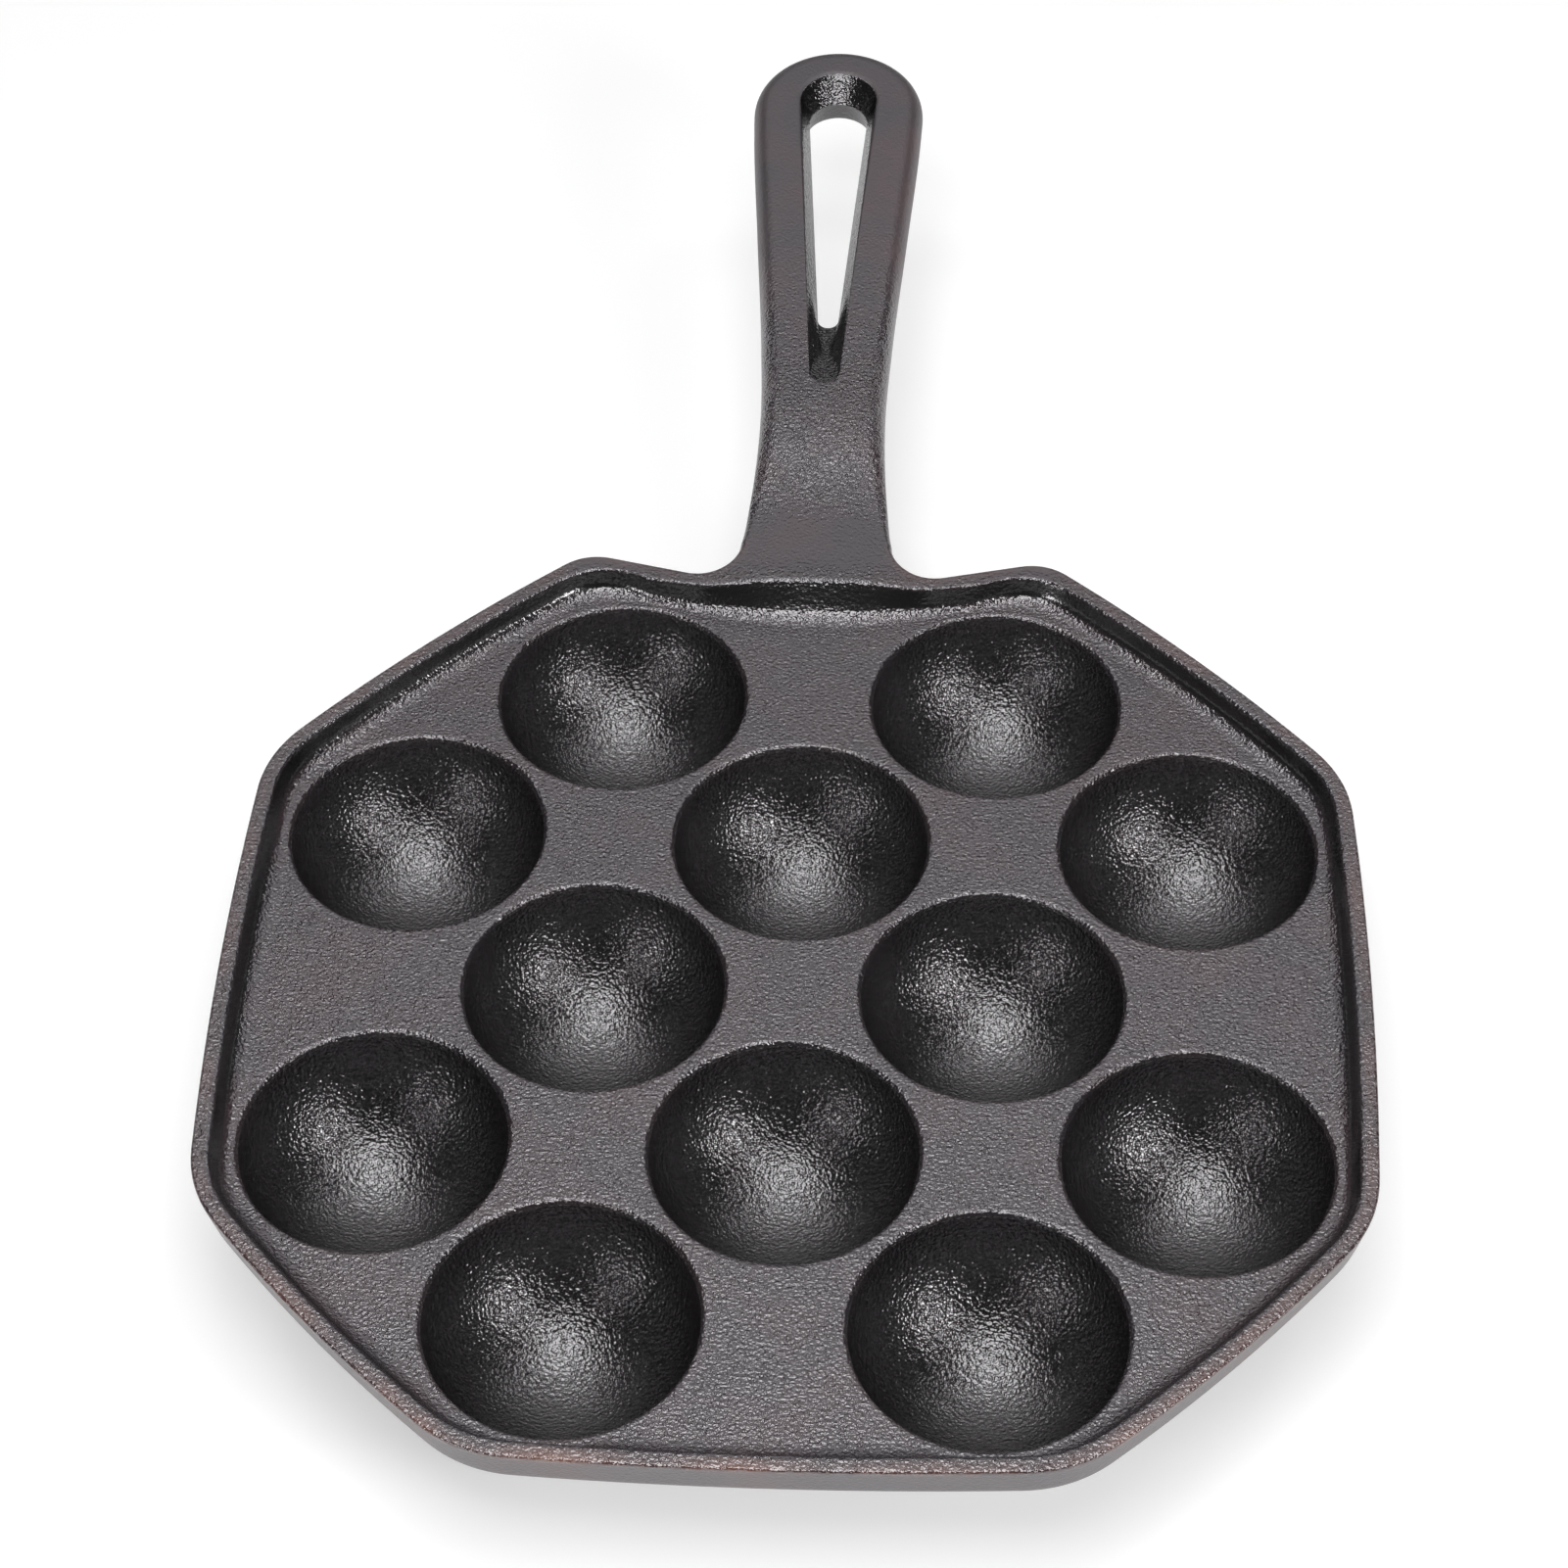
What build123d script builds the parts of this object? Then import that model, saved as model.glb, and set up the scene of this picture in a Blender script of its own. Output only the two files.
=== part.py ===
from build123d import *
from math import asin, cos, hypot, sin, sqrt
import os

# Cast-iron pan for ball-shaped cakes: twelve round cups sunk in an eight-sided plate, a low rim
# round the plate, and one flat handle with a tapered slot.
#
# The real pan is a single casting. It is modelled in sections that meet face to face: the deck
# (the flat web that the cups open in), the rim with the root of the handle, the handle, and the
# bowl of each cup below the deck.
#
# Millimetres. The origin is on the plane that the cup feet stand on, under the middle of the cup
# pattern. +Y runs along the handle, +X is to its right, +Z is up.

# --- cups -----------------------------------------------------------------------------------
cup_grid = 34.0  # step of the square grid that the cups stand on, every other point used
mouth_radius = 22.5  # cup mouth in the deck's top face
bowl_lift = 1.5  # centre of the bowl's sphere above the deck's top face
bowl_wall = 3.35  # iron between the inner and the outer sphere
lip_round = 1.0  # rounding of the mouth's edge

# --- deck and rim ---------------------------------------------------------------------------
deck_top = 24.0  # height of the cooking face over the plane of the feet
deck_thickness = 4.0
rim_height = 4.4  # rim top over the cooking face
rim_land = 3.0  # width of the rim's flat top
rim_slope = 1.6  # how far the inner wall leans in from rim top to deck
edge_draft = 12.0  # lean of the outer edge below the parting line, in degrees
edge_round = 0.5  # outer top edge
inner_round = 0.8  # inner top edge
under_round = 1.2  # outer bottom edge

# --- outline at the parting line ---------------------------------------------------------------
corner_far = 96.4  # a corner's distance along the axis that its longer coordinate is on
corner_near = 48.0  # and along the other axis
back_corner = (43.2, 100.6)  # the two corners beside the handle
side_bow = 1.7  # rise of the front and side edges over their chords
slant_bow = 1.9  # rise of the slanting edges over their chords
corner_round = 20.0
back_corner_round = 9.0
root_valley = (21.8, 96.1)  # lowest point of the back edge, where the handle's fillet starts
root_side = (14.2, 104.0)  # where that fillet reaches the handle's side
root_round = 8.0
root_stub = 8.0  # drawn beyond the root, and cut off at the joint with the handle

# --- inner wall along the back, where the handle's root thickens it: (x, y) of its right half ------
wall_top_back = [(30.0, 94.2), (22.0, 92.9), (10.0, 94.3), (0.0, 94.7)]
wall_foot_back = [(30.0, 92.5), (22.0, 91.5), (10.0, 93.1), (0.0, 93.5)]

# --- handle -----------------------------------------------------------------------------------
tip_start = (17.45, 223.5)  # (half width, y) where the rounded end begins, at the widest
tip_length = 17.2  # how far the end stands out beyond it
side_curve = [(13.1, 114.0), (12.1, 137.0), (12.95, 157.0), (15.1, 187.0), (17.2, 217.0)]
side_start_slope = -0.2  # change of half width per millimetre where the root's fillet ends
bar_thickness = 9.2
bar_round = 3.8  # rounding of the bar's long edges
mid_root = 3.3  # height over the deck of the bar's middle plane at the root...
mid_rise = 0.0655  # ...and its rise per millimetre along the handle
crown_step = (121.0, 2.3)  # y where its top face climbs steepest, and the height over the rim there
crown_climb = 0.26  # rise per millimetre there
under_rise = 0.1  # rise per millimetre of its underside where it leaves the rim
bend_end = 150.0  # y beyond which the bar lies along its middle plane

# --- slot: a tapered hole with draft both ways from the bar's middle plane ---------------------------
# Each outline wraps two circles, given as (distance from slot_middle along the bar, radius).
slot_middle = 190.0
hole_ends = [(31.9, 5.9), (-25.6, 2.0)]  # in the middle plane
mouth_ends = [(34.4, 7.9), (-44.4, 2.9)]  # in the top face; the narrow end is a ramped groove
under_ends = [(31.9, 6.7), (-25.6, 2.8)]  # in the underside
past_face = 0.5  # how far a cutting shape reaches past the bar's faces

# --- worked out from the above ---------------------------------------------------------------------
deck_under = deck_top - deck_thickness
rim_top = deck_top + rim_height
bowl_centre = deck_top + bowl_lift
bowl_inner = hypot(mouth_radius, bowl_lift)
bowl_outer = bowl_inner + bowl_wall
bar_root = root_side[1]
bar_tip = tip_start[1] + tip_length
half = bar_thickness / 2

# Every other point of the grid, without the corners; rows run from the handle to the front.
cup_places = [
    (column, row)
    for row in (2, 1, 0, -1, -2)
    for column in (-2, -1, 0, 1, 2)
    if (column + row) % 2 == 1 and abs(column) + abs(row) <= 3
]


def middle_height(y):
    """Height of the handle's middle plane at a distance y along the pan."""
    return deck_top + mid_root + mid_rise * (y - root_side[1])


def moved_in(before, corner, after, inset):
    """A corner of an outline drawn clockwise, moved so that both its edges move in by inset."""
    arriving = (corner - before).normalized()
    leaving = (after - corner).normalized()
    inward = Vector(arriving.Y, -arriving.X) + Vector(leaving.Y, -leaving.X)
    return corner + inward * (inset / (1 + arriving.dot(leaving)))


def mirrored(point):
    """The same point on the left half of the pan."""
    return (-point[0], point[1])


def eight_sides(inset):
    """Draws the front, side and slanting edges, moved in by inset, from one back corner round
    the front to the other. Returns the right back corner."""
    upper_side, lower_side = (corner_far, corner_near), (corner_far, -corner_near)
    front = (corner_near, -corner_far)
    right_half = [root_valley, back_corner, upper_side, lower_side, front, mirrored(front)]
    points = [Vector(*point) for point in right_half]
    run = [tuple(moved_in(*three, inset))[:2] for three in zip(points, points[1:], points[2:])]
    for start, end, bow in zip(run, run[1:], [slant_bow, side_bow, slant_bow]):
        SagittaArc(start, end, bow)
        SagittaArc(mirrored(end), mirrored(start), bow)
    SagittaArc(run[-1], mirrored(run[-1]), side_bow)
    return run[0]


def round_corners(outline, inset):
    """Rounds the eight corners of an outline that was moved in by inset."""
    clear_of_root = root_valley[0] + root_round
    corners = outline.vertices().filter_by(lambda v: abs(v.X) > clear_of_root).sort_by(Axis.Y)
    fillet(corners[:-2], corner_round - inset)
    fillet(corners[-2:], back_corner_round - inset)


def pan_outline():
    """The pan's outline at the parting line, with a stub of the handle beyond its root."""
    with BuildSketch() as outline:
        with BuildLine():
            corner = eight_sides(0)
            stub_end = (root_side[0], root_side[1] + root_stub)
            Line(corner, root_valley)
            RadiusArc(root_valley, root_side, root_round)
            Line(root_side, stub_end)
            Line(mirrored(corner), mirrored(root_valley))
            RadiusArc(mirrored(root_valley), mirrored(root_side), -root_round)
            Line(mirrored(root_side), mirrored(stub_end))
            Line(stub_end, mirrored(stub_end))
        make_face()
        round_corners(outline, 0)
    return outline.sketch


def tray_outline(inset, back_points):
    """The tray's outline: the eight sides moved in by inset, with the back edge through
    back_points and their mirror images."""
    with BuildSketch() as outline:
        with BuildLine():
            right = [eight_sides(inset)] + back_points
            Spline(right + [mirrored(point) for point in reversed(right[:-1])])
        make_face()
        round_corners(outline, inset)
    return outline.sketch


def teardrop(ends):
    """The outline round two circles on the Y axis, each given as (y, radius), the larger first."""
    (y1, r1), (y2, r2) = ends
    lean = asin((r1 - r2) / (y1 - y2))
    wide = (r1 * cos(lean), y1 - r1 * sin(lean))
    narrow = (r2 * cos(lean), y2 - r2 * sin(lean))
    with BuildSketch() as outline:
        with BuildLine():
            Line(narrow, wide)
            ThreePointArc(wide, (0, y1 + r1), mirrored(wide))
            Line(mirrored(wide), mirrored(narrow))
            ThreePointArc(mirrored(narrow), (0, y2 - r2), narrow)
        make_face()
    return outline.sketch


foot_outline = tray_outline(rim_land + rim_slope, wall_foot_back)
brink_outline = tray_outline(rim_land, wall_top_back)

# --- deck: the flat web, with the mouths of the twelve cups -----------------------------------------
with BuildPart() as deck:
    with BuildSketch(Plane.XY.offset(deck_under)):
        add(foot_outline)
    extrude(amount=deck_thickness)
    with Locations(*[(c * cup_grid, r * cup_grid, bowl_centre) for c, r in cup_places]):
        Sphere(bowl_inner, mode=Mode.SUBTRACT)
    mouths = deck.faces().sort_by(Axis.Z)[-1].inner_wires().edges()
    fillet(mouths, lip_round)
deck.part.label = "deck"

# --- rim: the raised edge all round, and the root that the handle grows from -------------------------
with BuildPart() as rim:
    with BuildSketch(Plane.XY.offset(rim_top)):
        add(pan_outline())
    extrude(amount=-(rim_top - deck_under), taper=edge_draft)
    fillet(rim.faces().sort_by(Axis.Z)[-1].edges(), edge_round)
    fillet(rim.faces().sort_by(Axis.Z)[0].edges(), under_round)
    split(bisect_by=Plane(origin=(0, bar_root, 0), z_dir=(0, 1, 0)), keep=Keep.BOTTOM)
    with BuildSketch(Plane.XY.offset(deck_under)):
        add(foot_outline)
    extrude(amount=deck_thickness, mode=Mode.SUBTRACT)
    with BuildSketch(Plane.XY.offset(deck_top)) as foot:
        add(foot_outline)
    with BuildSketch(Plane.XY.offset(rim_top)) as brink:
        add(brink_outline)
    loft([foot.sketch, brink.sketch], mode=Mode.SUBTRACT)
    fillet(rim.faces().sort_by(Axis.Z)[-1].inner_wires().edges(), inner_round)
rim.part.label = "rim"

# --- handle: a flat bar that rises from the rim, with rounded sides and a drafted slot ----------------
with BuildPart() as handle:
    with BuildSketch(Plane.XY):
        with BuildLine():
            Line((0, bar_root), root_side)
            Spline([root_side] + side_curve + [tip_start], tangents=[(side_start_slope, 1), (0, 1)])
            EllipticalCenterArc((0, tip_start[1]), tip_start[0], tip_length, arc_size=90)
            mirror(about=Plane.YZ)
        make_face()
    extrude(amount=middle_height(bar_tip) + bar_thickness)
    with BuildSketch(Plane.YZ):
        with BuildLine():
            bend, end = middle_height(bend_end), middle_height(bar_tip)
            Line((bar_root, deck_under), (bar_root, rim_top))
            step = (crown_step[0], rim_top + crown_step[1])
            Spline((bar_root, rim_top), step, tangents=[(1, 0), (1, crown_climb)])
            Spline(step, (bend_end, bend + half), tangents=[(1, crown_climb), (1, mid_rise)])
            Line((bend_end, bend + half), (bar_tip, end + half))
            Line((bar_tip, end + half), (bar_tip, end - half))
            Line((bar_tip, end - half), (bend_end, bend - half))
            Spline((bar_root, deck_under), (bend_end, bend - half), tangents=[(1, under_rise), (1, mid_rise)])
        make_face()
    extrude(amount=tip_start[0] + past_face, both=True, mode=Mode.INTERSECT)
    sides = handle.faces().filter_by(lambda f: abs(f.center().X) > root_side[0] / 2)
    fillet(sides.edges().filter_by(lambda e: e.length > 2 * bar_thickness), bar_round)
    slot_plane = Plane(
        origin=(0, slot_middle, middle_height(slot_middle)), x_dir=(1, 0, 0), z_dir=(0, -mid_rise, 1)
    )
    for ends, side in ((mouth_ends, 1), (under_ends, -1)):
        with BuildSketch(slot_plane) as waist:
            add(teardrop(hole_ends))
        with BuildSketch(slot_plane.offset(side * (half + past_face))) as opening:
            add(teardrop(ends))
        loft([waist.sketch, opening.sketch], mode=Mode.SUBTRACT)
handle.part.label = "handle"

# --- cups: the bowl of each cup below the deck, a shell between two spheres with a flat foot ----------
inner_foot = bowl_centre - bowl_inner
bowl_drop = bowl_centre - deck_under
inner_edge = sqrt(bowl_inner**2 - bowl_drop**2)
outer_edge = sqrt(bowl_outer**2 - bowl_drop**2)
foot_radius = sqrt(bowl_outer**2 - bowl_centre**2)
cups = []
for number, (column, row) in enumerate(cup_places, start=1):
    x, y = column * cup_grid, row * cup_grid
    with BuildPart() as cup:
        with BuildSketch(Plane(origin=(x, y, 0), x_dir=(1, 0, 0), z_dir=(0, -1, 0))):
            with BuildLine():
                Line((0, inner_foot), (0, 0))
                Line((0, 0), (foot_radius, 0))
                RadiusArc((foot_radius, 0), (outer_edge, deck_under), -bowl_outer)
                Line((outer_edge, deck_under), (inner_edge, deck_under))
                RadiusArc((inner_edge, deck_under), (0, inner_foot), bowl_inner)
            make_face()
        revolve(axis=Axis((x, y, 0), (0, 0, 1)))
        for step_x, step_y in ((1, 1), (1, -1), (-1, 1), (-1, -1)):
            if (column + step_x, row + step_y) in cup_places:
                between = (x + step_x * cup_grid / 2, y + step_y * cup_grid / 2, 0)
                split(bisect_by=Plane(origin=between, z_dir=(step_x, step_y, 0)), keep=Keep.BOTTOM)
    cup.part.label = f"cup_{number:02d}"
    cups.append(cup)

os.makedirs("parts", exist_ok=True)
for section in [deck, rim, handle] + cups:
    export_step(section.part, f"parts/{section.part.label}.step")
    print(section.part.label, section.part.is_valid, round(section.part.volume), section.part.bounding_box())
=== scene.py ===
"""Takoyaki pan: the finished look of one iron casting, built section by section over its CAD frame.

The real pan is one piece of sand-cast iron. Each visible section below is a closed surface of its own
that stands for a CAD node, and its seams lie where the iron is flat, so that the casting reads as one.
All lengths are in metres, +Z is up, +Y runs along the handle, and the feet stand on z = 0.
"""

from math import radians, tan

import bmesh
import bpy
import numpy as np
from bpy.props import FloatProperty, FloatVectorProperty, PointerProperty
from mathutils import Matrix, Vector
from mathutils.geometry import delaunay_2d_cdt


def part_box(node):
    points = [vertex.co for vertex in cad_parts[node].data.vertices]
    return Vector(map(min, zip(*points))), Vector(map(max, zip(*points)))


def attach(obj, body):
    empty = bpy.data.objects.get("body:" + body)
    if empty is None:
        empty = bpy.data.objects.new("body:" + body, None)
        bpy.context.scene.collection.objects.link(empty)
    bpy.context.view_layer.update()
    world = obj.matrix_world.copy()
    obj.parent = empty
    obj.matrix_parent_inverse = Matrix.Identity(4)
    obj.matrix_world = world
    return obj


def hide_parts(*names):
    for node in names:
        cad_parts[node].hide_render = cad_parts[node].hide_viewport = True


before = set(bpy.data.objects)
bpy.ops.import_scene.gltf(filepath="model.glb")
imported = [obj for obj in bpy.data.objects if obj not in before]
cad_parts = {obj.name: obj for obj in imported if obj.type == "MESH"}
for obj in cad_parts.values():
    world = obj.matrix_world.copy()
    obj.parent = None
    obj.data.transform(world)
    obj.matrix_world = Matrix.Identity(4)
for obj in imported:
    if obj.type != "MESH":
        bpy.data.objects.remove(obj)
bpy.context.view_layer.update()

bl_info = {
    "name": "Cast-Iron Cup Pan",
    "version": (1, 0, 0),
    "blender": (4, 5, 0),
    "location": "3D View > Sidebar > Cup Pan",
    "description": "Builds a cast-iron pan with round cups over its CAD frame",
    "category": "Add Mesh",
}

MM = 0.001
BODY = "root"
CUP_NODES = sorted(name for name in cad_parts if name.startswith("cup_"))

# --- plan of the pan, from the middle of the cup pattern ---
BACK_CORNER = np.array([43.2, 100.6]) * MM
SIDE_CORNER = np.array([96.4, 48.0]) * MM
FRONT_CORNER = np.array([48.0, -96.4]) * MM
ROOT_VALLEY = np.array([21.8, 96.1]) * MM  # where the back edge turns into the handle's fillet
CORNER_ROUND = 20.0 * MM
BACK_CORNER_ROUND = 9.0 * MM
TRAY_CORNER_ROUND = 13.0 * MM  # the same two corners in the tray's inner wall
SIDE_BOW = 1.55 * MM  # rise of the front and side edges over their chords
SLANT_BOW = 1.9 * MM  # rise of the slanting edges over theirs

# --- the tray's inner wall along the back, where the handle's root thickens it: its right half ---
WALL_TOP_BACK = np.array([(0, 93.5), (10, 93.3), (22, 92.9), (30, 94.2)]) * MM
WALL_FOOT_BACK = np.array([(0, 88.1), (10, 88.6), (22, 90.9), (30, 92.5)]) * MM
BACK_FILLET_ENDS = np.array([22, 45]) * MM  # |x| over which the fillet at its foot widens
ROOT_LIFT = 1.2 * MM  # rise of the handle's root over the rim...
ROOT_LIFT_ENDS = np.array([6, 21]) * MM  # ...and |x| over which it runs out

# --- the handle's half plan and its middle plane ---
ROOT_SIDE = np.array([14.2, 104.0]) * MM  # the joint with the rim ends here
ROOT_ROUND = 8.0 * MM  # the fillet beside it turns from 180 degrees...
ROOT_TURN = 281.9  # ...to here, where it meets the back edge
BAR_SIDE = (
    np.array([(14.2, 104), (13.1, 114), (12.1, 137), (12.95, 157), (15.1, 187), (17.2, 217), (17.45, 223.5)])
    * MM
)
ROOT_NARROWING = -0.2  # change of the half width per metre at the joint
TIP_LENGTH = 17.2 * MM  # how far the round end stands out beyond the widest place
MID_ROOT = 3.3 * MM  # height of the middle plane over the deck at the root...
MID_RISE = 0.0655  # ...and its rise per metre along the handle
BESIDE_BAR = np.array([16, 26]) * MM  # |x| over which the bar's heights fade to the rim's

# --- along the handle: where its faces leave the rim's plane and become the bar's ---
BEND_START = 96.0 * MM  # the underside starts to rise
CLIMB_START = 109.0 * MM  # so does the top face...
CLIMB_STEEPEST = 123.0 * MM  # ...which is steepest here
CLIMB_HEIGHT = 3.1 * MM  # its height over the rim there...
CLIMB_SLOPE = 0.33  # ...and its rise per metre
PARTING_RISEN = 110.0 * MM  # the parting line has reached the middle plane
BAR_FORMED = 130.0 * MM  # the section is all bar
BEND_END = 150.0 * MM  # both faces run beside the middle plane from here to BAR_END
BAR_END = 260.0 * MM

# --- the slot: each outline wraps two circles, given as (y, radius), the wide end first ---
HOLE = np.array([(221.9, 5.9), (164.4, 2.0)]) * MM  # in the middle plane
MOUTH = np.array([(224.4, 7.9), (145.6, 2.9)]) * MM  # in the top face; the narrow end is a ramped groove
UNDER_MOUTH = np.array([(221.9, 6.7), (164.4, 2.8)]) * MM  # in the underside
GROOVE_FADE = np.array([150, 172]) * MM  # y over which the groove's pinch runs out

# --- where the finish changes along the pan: y at the start and the end of each fade ---
FRONT_FADE = np.array([-50, -92]) * MM  # edges are rubbed fully at the front only
LAND_FADE = np.array([84, 98]) * MM  # the land's rubbing runs out
RIM_FADE = np.array([94, 100]) * MM  # the rim's pebbles sink to half
ROOT_FADE = np.array([104, 116]) * MM  # the handle's pebbles rise from the root...
NECK_FADE = np.array([108, 119]) * MM  # ...are highest on the neck from here...
WAIST_FADE = np.array([138, 165]) * MM  # ...to here...
TIP_FADE = np.array([150, 205]) * MM  # ...and sink to a smooth tip


def length(name, millimetres, description):
    """A length property whose default is given in millimetres."""
    return FloatProperty(
        name=name, description=description, default=millimetres * MM, unit="LENGTH", precision=5
    )


def colour(name, hex_value, description):
    """A colour property whose default is given as an sRGB hex value."""
    return FloatVectorProperty(
        name=name, description=description, default=to_linear(hex_value), subtype="COLOR", min=0, max=1
    )


def to_linear(hex_value):
    """The linear colour of an sRGB hex value."""
    srgb = np.array([int(hex_value[i : i + 2], 16) for i in (1, 3, 5)]) / 255
    return tuple(np.where(srgb <= 0.04045, srgb / 12.92, ((srgb + 0.055) / 1.055) ** 2.4))


class PanSizes(bpy.types.PropertyGroup):
    """Sizes of the casting's sections."""

    deck_top: length("Deck height", 24.0, "Height of the cooking face over the feet")
    deck_thickness: length("Deck thickness", 4.0, "Iron between the cups")
    mouth_radius: length("Cup mouth radius", 22.5, "Radius of a cup at the deck's top face")
    bowl_lift: length("Bowl lift", 1.5, "Centre of a cup's sphere above the deck's top face")
    bowl_wall: length("Bowl wall", 3.35, "Iron between a cup's inner and outer sphere")
    lip_round: length("Lip rounding", 0.9, "How far the rounding of a cup's lip reaches")
    lip_ring: length("Lip ring", 1.1, "Flat ring round a mouth that belongs to the cup")
    foot_round: length("Foot rounding", 0.6, "How softly the flat foot meets the bowl")
    bowl_fillet: length("Bowl fillet", 1.6, "Fillet between a bowl and the deck's underside")
    rim_height: length("Rim height", 4.4, "Rim top over the cooking face")
    rim_land: length("Rim land", 3.0, "Width of the rim's flat top")
    rim_slope: length("Rim slope", 1.6, "How far the inner wall leans in from rim top to deck")
    foot_fillet: length("Foot fillet", 3.0, "How far the fillet at the foot of the inner wall reaches")
    back_fillet: length("Back fillet", 2.0, "How far it reaches behind the handle's root")
    brink_round: length("Brink rounding", 0.8, "How far the rounding of the rim's inner edge reaches")
    edge_round: length("Edge rounding", 0.5, "Rounding of the rim's outer top edge")
    edge_drop: length("Edge drop", 0.45, "Parting line below the rim's top")
    under_round: length("Under rounding", 2.0, "How softly the outer wall meets the underside")
    bar_thickness: length("Bar thickness", 9.15, "Thickness of the handle")
    bar_round: length("Bar rounding", 3.7, "How far the rounding of the handle's sides reaches")
    slot_round: length("Slot rounding", 0.9, "How far the rounding of the slot's edges reaches")
    edge_draft: FloatProperty(
        name="Edge draft",
        description="Lean of the outer wall",
        default=radians(12),
        subtype="ANGLE",
        unit="ROTATION",
    )


class PanFinish(bpy.types.PropertyGroup):
    """Colours and grain of the iron."""

    # also painted as shade on the rim's steep inner wall and the slot's wall
    iron: colour("Seasoned iron", "#100F0F", "Oil-blackened iron, as deep in the cups")
    dusky: colour("Dry seasoning", "#2B262B", "Drier, greyer film on the deck, rim and handle")
    warm: colour("Thin seasoning", "#462A2E", "Where the oil film is thin and the iron looks brown")
    worn: colour("Worn edge", "#745248", "Edges rubbed to a coppery brown")
    grit: length("Grit", 0.6, "Size of the pebbles that the moulding sand leaves")
    relief: length("Relief", 0.28, "Height from the deepest pit to the highest pebble")
    patch: length("Oil patch", 14.286, "Width of the patches in the oil film")


class StageLook(bpy.types.PropertyGroup):
    """Floor, lights and camera."""

    floor: colour("Floor", "#E6E6E6", "The pale floor, as it lights the pan")
    surround: FloatProperty(
        name="Surround", description="Grey level of the dim room beyond the lamps", default=0.03, min=0
    )
    camera_place: FloatVectorProperty(
        name="Camera place",
        description="Where the camera stands",
        default=(0.02456, -0.41153, 0.53190),
        subtype="TRANSLATION",
        unit="LENGTH",
        precision=5,
    )
    camera_turn: FloatVectorProperty(
        name="Camera turn",
        description="The camera's turns about X, Y and Z",
        default=(radians(42.137), radians(0.853), radians(2.569)),
        subtype="EULER",
        unit="ROTATION",
    )
    camera_lens: FloatProperty(
        name="Lens", description="Focal length in millimetres", default=87.94, unit="CAMERA"
    )


# --- numpy helpers ---
def smooth_step(low, high, value):
    """0 at low, 1 at high and past it, and between them the cubic 3t^2 - 2t^3. high may be the lesser."""
    t = np.clip((value - low) / (high - low), 0, 1)
    return t * t * (3 - 2 * t)


def smooth_through(x, knots, heights, slopes=None):
    """A cubic between each two knots, with the knots' heights and slopes. A slope that isn't given is
    the one between the knot's neighbours."""
    slopes = np.gradient(heights, knots) if slopes is None else np.asarray(slopes)
    i = np.clip(np.searchsorted(knots, x) - 1, 0, len(knots) - 2)
    span = knots[i + 1] - knots[i]
    t = (x - knots[i]) / span
    start = (1 + 2 * t) * (1 - t) ** 2 * heights[i] + t * (1 - t) ** 2 * span * slopes[i]
    return start + t * t * (3 - 2 * t) * heights[i + 1] + t * t * (t - 1) * span * slopes[i + 1]


def unit(vectors):
    """Each vector divided by its length."""
    return vectors / np.linalg.norm(vectors, axis=-1, keepdims=True)


def quadratic(start, corner, end, steps):
    """Rows of points from start to end on the quadratic curve (1-t)^2 start + 2t(1-t) corner + t^2 end."""
    t = np.linspace(0, 1, steps).reshape(-1, *[1] * np.ndim(start))
    return (1 - t) ** 2 * start + 2 * t * (1 - t) * corner + t**2 * end


def between(start, end, ways):
    """Rows of points at the given shares of the way from start to end."""
    t = np.asarray(ways).reshape(-1, *[1] * np.ndim(start))
    return (1 - t) * start + t * end


def lifted(plan, height):
    """Plan points with their heights."""
    return np.concatenate([plan, np.broadcast_to(height, plan.shape[:-1])[..., None]], axis=-1)


def both_halves(right):
    """A closed loop from its right half, which starts and ends on the mirror line."""
    return np.vstack([right, (right * (-1, 1))[-2:0:-1]])


def outward(loop):
    """The outward normals of a clockwise loop: a quarter turn left of the way along it."""
    way = unit(np.roll(loop, -1, axis=0) - np.roll(loop, 1, axis=0))
    return np.stack([-way[:, 1], way[:, 0]], axis=1)


def distance_to(plan, loop):
    """Distance from plan points to a closed loop: the least of their distances to its short edges."""
    edge = np.roll(loop, -1, axis=0) - loop
    offset = plan[..., None, :] - loop
    share = np.clip((offset * edge).sum(-1) / (edge * edge).sum(-1), 0, 1)
    return np.linalg.norm(offset - share[..., None] * edge, axis=-1).min(-1)


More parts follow.
